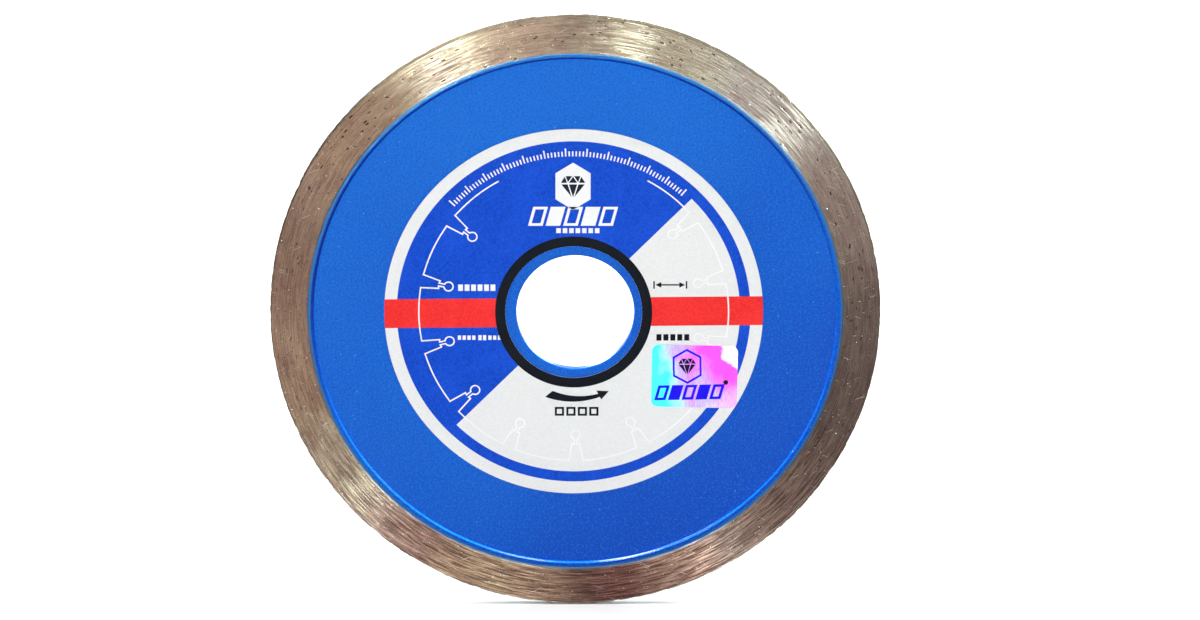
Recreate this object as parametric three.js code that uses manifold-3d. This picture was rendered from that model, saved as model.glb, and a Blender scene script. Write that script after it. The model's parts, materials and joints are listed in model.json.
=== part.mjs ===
// A 115 mm continuous-rim diamond blade for cutting tiles dry or wet on a small angle grinder.
// Millimetres. The blade stands upright: +Z is up, it spins about Y, and its labelled face looks
// along -Y. The origin is the centre of the bore, on the middle plane of the steel.
import * as THREE from 'three';
import { mergeVertices } from 'three/addons/utils/BufferGeometryUtils.js';
import Module from 'manifold-3d';

// Driving dimensions
const bladeDiameter = 115;
const boreDiameter = 22.23;
const coreThickness = 1.3;
const rimThickness = 2.0;
const rimDepth = 8; // from the outer edge in to the step where the rim stands proud of the steel
const rimGroove = 3; // how far the steel reaches into the sintered rim
const edgeBevel = 0.15;

const paintThickness = 0.08;
const paintLap = 0.9; // the paint runs this far over the shoulder of the rim
const paintEdge = 0.02; // and thins to this where the cheek has been ground bare
const shoulderRise = 0.05; // the unground shoulder under the paint stands above the ground cheek
const paintFilletRun = 0.35; // width of the sloped paint in the step's inner corner

const notchCount = 24; // dovetail notches in the steel's edge, filled by the rim
const notchDepth = 1.6;
const notchMouth = 2.6;
const notchFloor = 3.6;

const labelInnerRadius = 12.9;
const labelOuterRadius = 35.7;
const labelThickness = 0.1;
const labelOffset = -0.3; // the label is stuck on a little off centre

const hologramWidth = 16.2;
const hologramHeight = 12.2;
const hologramCorner = 1.3;
const hologramThickness = 0.06;
const hologramAcross = 22.5;
const hologramUp = -12.6;
const hologramTilt = THREE.MathUtils.degToRad(1.2);

const circleSteps = 192;
const cornerSteps = 6;

// Derived radii, and half-thicknesses measured from the middle plane
const boreRadius = boreDiameter / 2;
const outerRadius = bladeDiameter / 2;
const stepRadius = outerRadius - rimDepth;
const coreRadius = stepRadius + rimGroove;
const paintRadius = stepRadius + paintLap;
const coreHalf = coreThickness / 2;
const cheekHalf = rimThickness / 2;
const shoulderHalf = cheekHalf + shoulderRise;
const paintHalf = coreHalf + paintThickness;
const labelHalf = paintHalf + labelThickness;

const wasm = await Module();
wasm.setup();

// A closed geometry as a solid that can be cut, and the cut solid back as a geometry
function solidOf(geometry) {
  const bare = geometry.index ? geometry.toNonIndexed() : geometry.clone();
  bare.deleteAttribute('normal');
  bare.deleteAttribute('uv');
  const merged = mergeVertices(bare);
  return new wasm.Manifold(new wasm.Mesh({
    numProp: 3,
    vertProperties: merged.attributes.position.array,
    triVerts: new Uint32Array(merged.index.array),
  }));
}

function geometryOf(solid) {
  const mesh = solid.getMesh();
  const geometry = new THREE.BufferGeometry();
  geometry.setAttribute('position', new THREE.BufferAttribute(mesh.vertProperties, mesh.numProp));
  geometry.setIndex(new THREE.BufferAttribute(mesh.triVerts, 1));
  const faceted = geometry.toNonIndexed();
  faceted.computeVertexNormals();
  return faceted;
}

// A ring about the spin axis, from the corners of its section as [radius, place along Y]
function ring(corners) {
  const profile = [...corners, corners[0]].map(([radius, along]) => new THREE.Vector2(radius, along));
  return new THREE.LatheGeometry(profile, circleSteps);
}

// The same section drawn for the back face (side 1) or mirrored to the labelled face (side -1)
function ringOnSide(side, corners) {
  const placed = corners.map(([radius, height]) => [radius, side * height]);
  return ring(side > 0 ? placed : placed.reverse());
}

// A flat outline in X and Z made into a plate whose middle plane is the blade's own
function plate(shape, thickness) {
  const geometry = new THREE.ExtrudeGeometry(shape, { depth: thickness, bevelEnabled: false });
  geometry.translate(0, 0, -thickness / 2);
  geometry.rotateX(Math.PI / 2);
  return geometry;
}

function onCircle(radius, angle) {
  return new THREE.Vector2(radius * Math.cos(angle), radius * Math.sin(angle));
}

// Steel blank: a disc with a round bore, and dovetail notches all round its edge
function steelCoreGeometry() {
  const pitch = (2 * Math.PI) / notchCount;
  const floorRadius = coreRadius - notchDepth;
  const mouthAngle = notchMouth / 2 / coreRadius;
  const floorAngle = notchFloor / 2 / floorRadius;
  const toothSteps = Math.round(circleSteps / notchCount);
  const edge = [];
  for (let notch = 0; notch < notchCount; notch++) {
    const middle = notch * pitch;
    edge.push(onCircle(coreRadius, middle - mouthAngle));
    edge.push(onCircle(floorRadius, middle - floorAngle));
    edge.push(onCircle(floorRadius, middle + floorAngle));
    const toothAngle = pitch - 2 * mouthAngle;
    for (let step = 0; step < toothSteps; step++) {
      edge.push(onCircle(coreRadius, middle + mouthAngle + (toothAngle * step) / toothSteps));
    }
  }
  const blank = new THREE.Shape(edge);
  const bore = [];
  for (let step = 0; step < circleSteps; step++) {
    bore.push(onCircle(boreRadius, (2 * Math.PI * step) / circleSteps));
  }
  blank.holes.push(new THREE.Path(bore));
  return plate(blank, coreThickness);
}

// Sintered rim: one ring that clasps the steel's edge on both sides and fills its notches. Its cheeks
// are ground flat, and the shoulder inside them slopes up a little to the step.
function diamondRimGeometry(steelCore) {
  const fullRing = ring([
    [stepRadius, -shoulderHalf],
    [paintRadius, -cheekHalf],
    [outerRadius - edgeBevel, -cheekHalf],
    [outerRadius, -cheekHalf + edgeBevel],
    [outerRadius, cheekHalf - edgeBevel],
    [outerRadius - edgeBevel, cheekHalf],
    [paintRadius, cheekHalf],
    [stepRadius, shoulderHalf],
  ]);
  return geometryOf(solidOf(fullRing).subtract(solidOf(steelCore)));
}

// Paint coat: covers one face of the steel, climbs the step and laps over the rim's shoulder, where
// it is the proudest part of the blade
function paintCoatGeometry(side) {
  return ringOnSide(side, [
    [boreRadius, coreHalf],
    [stepRadius, coreHalf],
    [stepRadius, shoulderHalf],
    [paintRadius, cheekHalf],
    [paintRadius, cheekHalf + paintEdge],
    [stepRadius, shoulderHalf + paintThickness],
    [stepRadius - paintThickness, shoulderHalf],
    [stepRadius - paintThickness - paintFilletRun, paintHalf],
    [boreRadius, paintHalf],
  ]);
}

// Label: a printed film ring stuck to the paint on the labelled face
function labelGeometry() {
  return ringOnSide(-1, [
    [labelInnerRadius, paintHalf],
    [labelOuterRadius, paintHalf],
    [labelOuterRadius, labelHalf],
    [labelInnerRadius, labelHalf],
  ]);
}

// Hologram sticker: a foil rectangle with rounded corners
function hologramGeometry() {
  const halfWidth = hologramWidth / 2;
  const halfHeight = hologramHeight / 2;
  const across = halfWidth - hologramCorner;
  const up = halfHeight - hologramCorner;
  const quarter = Math.PI / 2;
  const outline = new THREE.Shape();
  outline.absarc(across, up, hologramCorner, 0, quarter);
  outline.absarc(-across, up, hologramCorner, quarter, 2 * quarter);
  outline.absarc(-across, -up, hologramCorner, 2 * quarter, 3 * quarter);
  outline.absarc(across, -up, hologramCorner, 3 * quarter, 4 * quarter);
  return new THREE.ExtrudeGeometry(outline, {
    depth: hologramThickness,
    bevelEnabled: false,
    curveSegments: cornerSteps,
  });
}

function material(colour, roughness, metalness) {
  return new THREE.MeshStandardMaterial({ color: colour, roughness, metalness });
}

const blade = new THREE.Group();

function addPiece(name, geometry, finish) {
  const piece = new THREE.Mesh(geometry, finish);
  piece.name = name;
  blade.add(piece);
  return piece;
}

const bluePaint = material('#1f66c8', 0.45, 0.0);
const steelCore = steelCoreGeometry();
addPiece('steel_core', steelCore, material('#a3a6a8', 0.35, 1.0));
addPiece('diamond_rim', diamondRimGeometry(steelCore), material('#9c8978', 0.45, 0.9));
addPiece('front_paint_coat', paintCoatGeometry(-1), bluePaint);
addPiece('back_paint_coat', paintCoatGeometry(1), bluePaint);

const label = addPiece('front_label', labelGeometry(), material('#f0f0f2', 0.35, 0.0));
label.position.x = labelOffset;

const hologram = addPiece('hologram_sticker', hologramGeometry(), material('#c9a6e6', 0.2, 0.6));
hologram.rotation.set(Math.PI / 2, hologramTilt, 0, 'YXZ');
hologram.position.set(hologramAcross, -labelHalf, hologramUp);

export default blade;
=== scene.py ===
"""Looks of a 115 mm continuous-rim diamond blade that stands upright, its labelled face along -Y.

The CAD model is the fixed frame. The rim and the two paint coats are replaced by finer pieces, the
printing on the label and on the hologram is added as thin inks, and diamond crystals sit in the rim.
Shapes are drawn in millimetres, seen from the front: x to the right, z up, and height is the
distance from the blade's middle plane. Noise is seeded, so each run gives the same blade.
"""
import json
import math

import bpy
import numpy as np
from mathutils import Matrix, Vector
from mathutils.geometry import tessellate_polygon

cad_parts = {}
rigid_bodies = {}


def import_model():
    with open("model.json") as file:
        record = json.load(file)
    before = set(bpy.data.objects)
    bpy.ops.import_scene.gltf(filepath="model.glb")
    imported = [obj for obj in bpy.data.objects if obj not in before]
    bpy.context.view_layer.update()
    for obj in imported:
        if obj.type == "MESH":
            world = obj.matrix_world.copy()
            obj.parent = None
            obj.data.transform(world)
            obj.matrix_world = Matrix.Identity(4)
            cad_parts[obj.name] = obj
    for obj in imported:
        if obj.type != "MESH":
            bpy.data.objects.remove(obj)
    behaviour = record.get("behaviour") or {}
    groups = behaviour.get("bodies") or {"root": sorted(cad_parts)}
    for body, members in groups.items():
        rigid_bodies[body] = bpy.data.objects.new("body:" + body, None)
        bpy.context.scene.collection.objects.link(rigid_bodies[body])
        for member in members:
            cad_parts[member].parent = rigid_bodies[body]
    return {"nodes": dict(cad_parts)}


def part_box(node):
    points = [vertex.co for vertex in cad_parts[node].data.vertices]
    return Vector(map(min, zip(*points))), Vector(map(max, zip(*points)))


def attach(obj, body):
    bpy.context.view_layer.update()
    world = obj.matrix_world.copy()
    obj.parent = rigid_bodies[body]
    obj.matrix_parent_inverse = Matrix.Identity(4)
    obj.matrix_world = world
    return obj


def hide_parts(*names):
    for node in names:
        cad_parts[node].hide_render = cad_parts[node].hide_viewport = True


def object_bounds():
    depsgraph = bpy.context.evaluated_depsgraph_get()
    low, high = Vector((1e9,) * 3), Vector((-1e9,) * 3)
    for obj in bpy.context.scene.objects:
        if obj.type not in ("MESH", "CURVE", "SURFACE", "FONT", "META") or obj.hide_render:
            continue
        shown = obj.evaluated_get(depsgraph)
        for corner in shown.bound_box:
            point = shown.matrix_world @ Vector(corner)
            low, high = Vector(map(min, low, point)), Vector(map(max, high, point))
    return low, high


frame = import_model()
cad_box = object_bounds()

MM = 0.001
BODY = "root"
FRONT = -1
BACK = 1

# -------- sizes read from the frame


def node_radius(node):
    """Half the width of a round node, in millimetres."""
    low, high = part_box(node)
    return (high[0] - low[0]) / 2 / MM


def node_front(node):
    """How far a node reaches towards the viewer from the middle plane, in millimetres."""
    low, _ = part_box(node)
    return -low[1] / MM


def node_centre(node):
    """A node's middle as (x, z), in millimetres."""
    low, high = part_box(node)
    return (low[0] + high[0]) / 2 / MM, (low[2] + high[2]) / 2 / MM


RIM_RADIUS = node_radius("diamond_rim")
CORE_RADIUS = node_radius("steel_core")
CORE_FACE = node_front("steel_core")
PAINT_RADIUS = node_radius("front_paint_coat")
BEAD_TOP = node_front("front_paint_coat")
LABEL_RADIUS = node_radius("front_label")
LABEL_FACE = node_front("front_label")
LABEL_X, LABEL_Z = node_centre("front_label")
HOLOGRAM_FACE = node_front("hologram_sticker")
HOLOGRAM_X, HOLOGRAM_Z = node_centre("hologram_sticker")
BLADE_BOTTOM = cad_box[0][2]

# Sizes that the nodes' boxes don't give, in millimetres
BORE_RADIUS = 11.115
STEP_RADIUS = 49.5
LABEL_HOLE = 12.9
PAINT_FACE = 0.73
SHOULDER = 1.05
RIM_CHEEK = 1.0
HOLOGRAM_WIDTH = 16.2
HOLOGRAM_HEIGHT = 12.2
HOLOGRAM_TILT = 1.2  # in degrees
MASK_DROP = 0.13  # how low the ring that masked the rim sat when the enamel was sprayed

# -------- node-tree helper


FACE_SHIFT = 17.0  # noise cells between the two faces, so that their patterns differ


class Shader:
    """A material or a world whose nodes are added and linked by short calls."""

    def __init__(self, name, kind=bpy.data.materials, surface="Principled BSDF"):
        self.block = kind.new(name)
        self.block.use_nodes = True
        self.tree = self.block.node_tree
        self.surface = self.tree.nodes[surface]

    def feed(self, socket, value):
        """Sets a socket to a value or links it to another node's output."""
        if isinstance(value, bpy.types.NodeSocket):
            self.tree.links.new(value, socket)
        else:
            socket.default_value = value

    def set(self, **values):
        """Feeds the surface's own sockets, whose names are written with _ for a space."""
        for key, value in values.items():
            self.feed(self.surface.inputs[key.replace("_", " ")], value)

    def node(self, kind, inputs, output=0, **settings):
        """Adds a node, feeds its inputs by name or number, and gives one of its outputs."""
        node = self.tree.nodes.new("ShaderNode" + kind)
        for key, value in settings.items():
            setattr(node, key, value)
        for key, value in inputs.items():
            self.feed(node.inputs[key], value)
        return node.outputs[output]

    def math(self, operation, first, second=0.0, clamp=False):
        return self.node("Math", {0: first, 1: second}, operation=operation, use_clamp=clamp)

    def times(self, first, second):
        return self.math("MULTIPLY", first, second)

    def plus(self, first, *others):
        for value in others:
            first = self.math("ADD", first, value)
        return first

    def minus(self, first, second):
        return self.math("SUBTRACT", first, second)

    def off_by(self, first, second):
        """How far apart two values are."""
        return self.math("ABSOLUTE", self.minus(first, second))

    def place(self):
        """The object's own x, y and z in millimetres."""
        place = self.node("TexCoord", {}, "Object")
        return self.node("VectorMath", {0: place, "Scale": 1 / MM}, operation="SCALE")

    def split(self, vector):
        return self.node("SeparateXYZ", {0: vector}).node.outputs

    def join(self, x, y, z):
        return self.node("CombineXYZ", {0: x, 1: y, 2: z})

    def stretched(self, vector, scale):
        return self.node("VectorMath", {0: vector, 1: scale}, operation="MULTIPLY")

    def noise(self, vector, scale=1.0, detail=2.0, roughness=0.5, distortion=0.0):
        inputs = {"Vector": vector, "Scale": scale, "Detail": detail, "Roughness": roughness}
        return self.node("TexNoise", {**inputs, "Distortion": distortion}, "Fac")

    def cells(self, vector, scale=1.0, dimensions="3D"):
        """Distance from the nearest of many scattered points."""
        inputs = {"Vector": vector, "Scale": scale}
        return self.node("TexVoronoi", inputs, "Distance", voronoi_dimensions=dimensions)

    def band(self, value, low, high, to_low=0.0, to_high=1.0):
        """Maps low..high onto to_low..to_high, clamped and smooth."""
        inputs = {"Value": value, "From Min": low, "From Max": high, "To Min": to_low, "To Max": to_high}
        return self.node("MapRange", inputs, "Result", interpolation_type="SMOOTHSTEP")

    def ramp(self, value, stops):
        output = self.node("ValToRGB", {"Fac": value}, "Color")
        elements = output.node.color_ramp.elements
        for place, colour in stops[2:]:
            elements.new(place)
        for element, (place, colour) in zip(elements, stops):
            element.position = place
            element.color = (*colour, 1)
        return output

    def mix(self, amount, first, second, blend="MIX"):
        """Blends two colours, each a node's output or red, green and blue."""
        first, second = (c if isinstance(c, bpy.types.NodeSocket) else (*c, 1) for c in (first, second))
        inputs = {"Factor": amount, 6: first, 7: second}
        return self.node("Mix", inputs, 2, data_type="RGBA", blend_type=blend)

    def bump(self, layers):
        """Chains bumps from (height, distance in millimetres, strength) and feeds the last on."""
        inputs = {}
        for height, distance, strength in layers:
            inputs.update({"Height": height, "Distance": distance * MM, "Strength": strength})
            inputs["Normal"] = self.node("Bump", inputs)
        self.set(Normal=inputs["Normal"])

    def slope(self, angle):
        """-1 to 1 across the blade, rising towards an angle in degrees."""
        x, _, z = self.split(self.place())
        tilt = math.radians(angle)
        across = self.times(x, math.cos(tilt) / RIM_RADIUS)
        return self.plus(across, self.times(z, math.sin(tilt) / RIM_RADIUS))

    def radius(self):
        """Distance from the spin axis in millimetres."""
        x, _, z = self.split(self.place())
        return self.math("SQRT", self.plus(self.times(x, x), self.times(z, z)))

    def hatch(self, angle, along, across):
        """Coordinates whose noise cells lie at an angle in degrees, with their size along and across it."""
        _, y, _ = self.split(self.place())
        lengthways = self.times(self.slope(angle), RIM_RADIUS / along)
        crossways = self.times(self.slope(angle + 90), RIM_RADIUS / across)
        return self.join(lengthways, crossways, y)

    def towards(self, angle):
        """1 on the radius at an angle in degrees, falling as the cosine of the turn away from it."""
        return self.math("DIVIDE", self.times(self.slope(angle), RIM_RADIUS), self.radius())

    def from_mask(self):
        """Distance from the middle of the masking ring, in millimetres."""
        return self.plus(self.radius(), self.times(self.towards(90), MASK_DROP), MASK_DROP)

    def specks(self, spacing, size, amount):
        """Round specks scattered over both faces, with spacing and size in millimetres."""
        x, _, z = self.split(self.place())
        distance = self.cells(self.join(x, z, 0.0), 1 / spacing, dimensions="2D")
        return self.band(distance, 0.5 * size / spacing, size / spacing, amount, 0.0)

    def polar(self, along, across):
        """Coordinates round the spin axis with no seam: features stretch along the circle.

        along and across are the sizes in millimetres that one noise cell takes near the rim.
        """
        x, y, z = self.split(self.place())
        radius = self.radius()
        stretch = STEP_RADIUS / along
        cosine, sine = (self.times(self.math("DIVIDE", part, radius), stretch) for part in (x, z))
        side = self.times(self.math("SIGN", y), FACE_SHIFT)
        return self.join(cosine, sine, self.plus(self.math("DIVIDE", radius, across), side))


# -------- materials

# How the rim's tarnish tints its bronze towards each side; the lighter top and darker bottom are painted
# light and shade as well as tarnish
LEFT_TARNISH = (0.96, 0.84, 0.79)
RIGHT_TARNISH = (0.83, 0.83, 0.90)
LOW_TARNISH_AND_SHADE = (0.79, 0.65, 0.63)
HIGH_TARNISH_AND_LIGHT = (1.17, 1.16, 1.14)
# Patches of tarnish, wear and painted light: tints above 1 are painted highlights where the ground lines
# glint, tints below 1 painted shade as well as tarnish. Each gives the angle it centres on, the cosines
# where it starts and is full, its tint
RIM_TARNISH_AND_LIGHT_PATCHES = [
    (14, 0.975, 1.01, (0.88, 0.86, 0.86)),
    (50, 0.965, 1.02, (0.95, 0.97, 1.00)),
    (75, 0.98, 1.01, (1.13, 1.17, 1.07)),
    (103, 1.000, 1.020, (1.46, 1.46, 1.38)),
    (124, 0.985, 1.02, (1.08, 1.12, 1.10)),
    (138, 0.985, 1.015, (0.95, 0.90, 0.86)),
    (168, 0.97, 1.035, (0.71, 0.67, 0.69)),
    (208, 0.98, 1.01, (1.06, 1.12, 1.07)),
    (217, 0.975, 1.02, (1.26, 1.48, 1.54)),
    (240, 0.985, 1.01, (1.12, 1.06, 1.13)),
    (256, 0.97, 1.02, (1.56, 1.74, 1.42)),
    (269, 0.985, 1.01, (0.81, 0.69, 0.75)),
    (286, 0.985, 1.015, (1.16, 1.00, 0.95)),
    (318, 0.985, 1.01, (1.13, 1.13, 1.10)),
    (343, 0.80, 1.05, (0.45, 0.445, 0.465)),
]


def ground_bronze():
    """Sintered bronze ground round the rim: fine lines along the circle, pores, scratches and tarnish, with
    painted highlights and shade round the rim and a dark outline at the edge that is partly painted shade.
    """
    m = Shader("ground_sintered_bronze")
    place = m.place()
    lines = m.noise(m.polar(4.2, 0.18), roughness=0.6, distortion=0.06)
    furrows = m.noise(m.polar(4.2, 0.20), detail=1.2, roughness=0.6)
    scores = m.noise(m.polar(4.6, 0.28), detail=0.6)
    clouds = m.noise(m.polar(7.0, 2.6), detail=3.0, roughness=0.6)
    mottle = m.noise(place, 0.9, detail=4.0, roughness=0.7)
    grain = m.noise(place, 4.2, detail=3.0, roughness=0.75)
    brown = m.mix(m.band(clouds, 0.32, 0.66), (0.158, 0.104, 0.088), (0.232, 0.180, 0.136))
    mottled = m.mix(m.band(mottle, 0.44, 0.60, 0.0, 0.6), brown, (0.175, 0.155, 0.112))
    coarse = m.band(m.slope(268), 0.15, 0.80, 0.32, 0.8)
    ridged = m.mix(m.times(m.band(lines, 0.50, 0.62), coarse), mottled, (0.32, 0.262, 0.205))
    grooves = m.times(m.band(lines, 0.38, 0.49, 1.0, 0.0), coarse)
    grooved = m.mix(grooves, ridged, (0.080, 0.055, 0.043))
    deepened = m.band(m.towards(275), 0.25, 0.85, 0.16, 0.75)
    deep = m.times(m.band(scores, 0.36, 0.44, 1.0, 0.0), deepened)
    scored = m.mix(deep, grooved, (0.060, 0.040, 0.032))
    dark_grain = m.mix(m.band(grain, 0.36, 0.48, 0.30, 0.0), scored, (0.085, 0.060, 0.048))
    grained = m.mix(m.band(grain, 0.52, 0.64, 0.0, 0.28), dark_grain, (0.33, 0.262, 0.205))
    across = m.mix(m.band(m.slope(0), -1.0, 1.0), LEFT_TARNISH, RIGHT_TARNISH)
    # lighter towards the top and darker towards the bottom: painted light and shade as well as tarnish
    upward_tarnish_and_light = m.mix(m.band(m.slope(90), -1.0, 1.0), LOW_TARNISH_AND_SHADE, HIGH_TARNISH_AND_LIGHT)
    tarnished_and_lit = m.mix(1.0, m.mix(1.0, grained, across, "MULTIPLY"), upward_tarnish_and_light, "MULTIPLY")
    ragged = m.times(clouds, 0.05)
    # patches with tints above 1 are painted highlights along the glinting ground lines; those below 1 are
    # painted shade as well as tarnish
    for angle, start, full, tint in RIM_TARNISH_AND_LIGHT_PATCHES:
        tarnish_and_light_patch = m.band(m.plus(m.towards(angle), ragged), start, full)
        tarnished_and_lit = m.mix(tarnish_and_light_patch, tarnished_and_lit, tint, "MULTIPLY")
    rising, falling = (m.noise(m.hatch(*size), detail=0.0) for size in ((24, 4.5, 0.16), (160, 3.5, 0.14)))
    scratches = m.band(m.math("MAXIMUM", rising, falling), 0.815, 0.84, 0.0, 0.6)
    scratched = m.mix(scratches, tarnished_and_lit, (0.50, 0.43, 0.35))
    pore_cells = m.cells(m.polar(0.8, 0.24))
    pore_pick = m.noise(m.polar(1.9, 0.7), detail=1.0)
    pores = m.times(m.band(pore_cells, 0.12, 0.28, 0.75, 0.0), m.band(pore_pick, 0.57, 0.61))
    pits = m.band(m.node("Attribute", {}, "Fac", attribute_name="pit"), 0.22, 0.62)
    clean = m.band(m.towards(80), -0.2, 0.6, 0.40, 0.95)
    holes = m.math("MAXIMUM", pores, m.times(pits, clean))
    holed = m.mix(holes, scratched, (0.024, 0.015, 0.011))
    drifted = m.plus(m.from_mask(), m.times(mottle, 0.5))
    overspray = m.band(drifted, PAINT_RADIUS + 0.15, PAINT_RADIUS + 0.85, 0.85, 0.0)
    sprayed = m.mix(overspray, holed, (0.050, 0.115, 0.190))
    # a dark outline round the cutting edge: partly the edge's own dark line, partly painted shade that keeps
    # the bevel from catching light
    edge = m.band(m.radius(), RIM_RADIUS - 0.24, RIM_RADIUS - 0.16)
    m.set(Base_Color=m.mix(m.times(edge, 0.7), sprayed, (0.115, 0.082, 0.058)))
    dull = m.math("MAXIMUM", holes, m.math("MAXIMUM", edge, m.times(overspray, 1.5)), clamp=True)
    m.set(Roughness=m.plus(m.band(furrows, 0.36, 0.64, 0.14, 0.27), m.times(dull, 0.42)))
    m.bump([(furrows, 0.040, 0.9), (scores, 0.028, 0.8), (grain, 0.002, 0.3), (holes, 0.02, 0.5)])
    m.set(Tangent=m.node("Tangent", {}, direction_type="RADIAL", axis="Y"))
    m.set(Metallic=1.0, Anisotropic=1.0, Anisotropic_Rotation=0.25, Specular_Tint=(0.45, 0.34, 0.27, 1))
    return m.block


def blue_enamel():
    """Satin blue enamel: orange peel, pigment grain, dust nibs and pale rubs, with painted light (lighter to
    the upper left) and a painted shadow along the step.
    """
    m = Shader("blue_enamel")
    place = m.place()
    peel = m.noise(place, 1.3, detail=3.0, roughness=0.6)
    pigment = m.noise(place, 2.6, roughness=0.7)
    # painted light: the blue is lighter towards the upper left and deeper towards the lower right; only the
    # slow noise is real variation in the coat
    drift = m.plus(m.noise(place, 0.02, detail=1.0), m.times(m.slope(115), 0.5))
    base = m.mix(m.band(drift, 0.0, 1.0), (0.0005, 0.045, 0.352), (0.004, 0.106, 0.478))
    light_grain = m.mix(m.band(pigment, 0.50, 0.64, 0.0, 0.42), base, (0.006, 0.157, 0.62))
    grained = m.mix(m.band(pigment, 0.36, 0.48, 0.46, 0.0), light_grain, (0.001, 0.044, 0.355))
    rubs = m.band(m.noise(place, 0.35, detail=4.0, roughness=0.75), 0.69, 0.76, 0.0, 0.55)
    rubbed = m.mix(rubs, grained, (0.018, 0.235, 0.72))
    nib_pick = m.band(m.noise(place, 0.4, detail=1.0), 0.58, 0.62)
    nibs = m.times(m.band(m.cells(place, 0.55), 0.03, 0.075, 1.0, 0.0), nib_pick)
    nibbed = m.mix(m.times(nibs, 0.6), rubbed, (0.001, 0.035, 0.25))
    dust = m.times(m.specks(7.0, 0.14, 0.6), m.band(m.noise(place, 0.13), 0.48, 0.52))
    dusted = m.mix(dust, nibbed, (0.10, 0.36, 0.78))
    # a painted shadow along the foot of the step, darkest on the upper-left side
    from_step_shadow = m.off_by(m.radius(), STEP_RADIUS + 0.15)
    step_shadow = m.times(m.band(from_step_shadow, 0.22, 0.44, 1.0, 0.0), m.band(m.slope(112), -0.3, 0.5, 0.0, 0.95))
    step_shadowed = m.mix(step_shadow, dusted, (0.001, 0.011, 0.19))
    sparse = m.band(m.towards(105), -0.2, 0.7, 0.0, 0.20)
    to_edge = m.plus(m.from_mask(), m.times(peel, 0.3), sparse)
    thin = m.band(to_edge, PAINT_RADIUS - 0.25, PAINT_RADIUS + 0.12, 0.0, 0.9)
    m.set(Base_Color=m.mix(thin, step_shadowed, (0.014, 0.112, 0.300)))
    m.set(Roughness=m.band(pigment, 0.3, 0.7, 0.46, 0.60))
    m.bump([(peel, 0.010, 0.5), (pigment, 0.006, 0.35), (nibs, 0.02, 0.5)])
    near_step = m.band(m.off_by(m.radius(), STEP_RADIUS - 0.15), 0.12, 0.34, 1.0, 0.0)
    shine = m.times(near_step, m.band(m.towards(292), 0.93, 0.985, -0.08, 0.25))
    m.set(Coat_Weight=m.plus(shine, 0.2), Coat_Roughness=0.15, Specular_IOR_Level=0.0)
    return m.block


def bore_steel():
    """The bore's wall: cold-rolled steel with blue overspray, worn through where flanges rub it."""
    m = Shader("bore_steel_with_overspray")
    place = m.place()
    rolled = m.noise(m.stretched(place, (1.0, 9.0, 1.0)), 1.2, detail=3.0)
    wear = m.noise(place, 0.9, detail=4.0, roughness=0.65)
    _, along, _ = m.split(place)
    edge = m.band(m.math("ABSOLUTE", along), 0.45, 0.66)
    bare = m.band(m.plus(wear, m.times(edge, 0.04)), 0.68, 0.74)
    steel = m.ramp(rolled, [(0.3, (0.30, 0.31, 0.33)), (0.7, (0.50, 0.51, 0.53))])
    m.set(Base_Color=m.mix(bare, (0.018, 0.16, 0.60), steel), Metallic=bare)
    m.set(Roughness=m.band(rolled, 0.3, 0.7, 0.34, 0.5))
    m.bump([(rolled, 0.01, 0.4), (wear, 0.01, 0.4)])
    return m.block


def label_film():
    """Printed label film: off-white, faint paper grain, a few handling specks."""
    m = Shader("label_film_white")
    place = m.place()
    fibres = m.noise(m.stretched(place, (1.0, 1.0, 1.8)), 2.0, detail=3.0, roughness=0.7)
    dirt = m.noise(place, 0.22, detail=3.0)
    white = m.mix(m.band(fibres, 0.3, 0.7), (0.692, 0.692, 0.690), (0.748, 0.747, 0.745))
    aged = m.mix(m.band(dirt, 0.5, 0.8, 0.0, 0.10), white, (0.62, 0.61, 0.58))
    specks = m.band(m.cells(place, 0.33), 0.02, 0.05, 0.45, 0.0)
    m.set(Base_Color=m.mix(specks, aged, (0.35, 0.33, 0.30)))
    m.set(Roughness=m.band(fibres, 0.3, 0.7, 0.42, 0.55))
    m.bump([(fibres, 0.006, 0.35)])
    m.set(Specular_IOR_Level=0.2)
    return m.block


def ink(name, colour, shade):
    """Printed ink: fine mottle between two tones, with the film's grain showing through."""
    m = Shader(name)
    place = m.place()
    mottle = m.noise(place, 2.8, detail=3.0, roughness=0.75)
    wash = m.noise(place, 0.16)
    fine = m.mix(m.band(mottle, 0.3, 0.7), shade, colour)
    pale = tuple(min(1.0, 1.25 * c + 0.01) for c in colour)
    m.set(Base_Color=m.mix(m.band(wash, 0.4, 0.7, 0.0, 0.2), fine, pale))
    m.set(Roughness=m.band(mottle, 0.3, 0.7, 0.40, 0.53))
    m.bump([(mottle, 0.004, 0.3)])
    m.set(Specular_IOR_Level=0.05)
    return m.block


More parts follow.
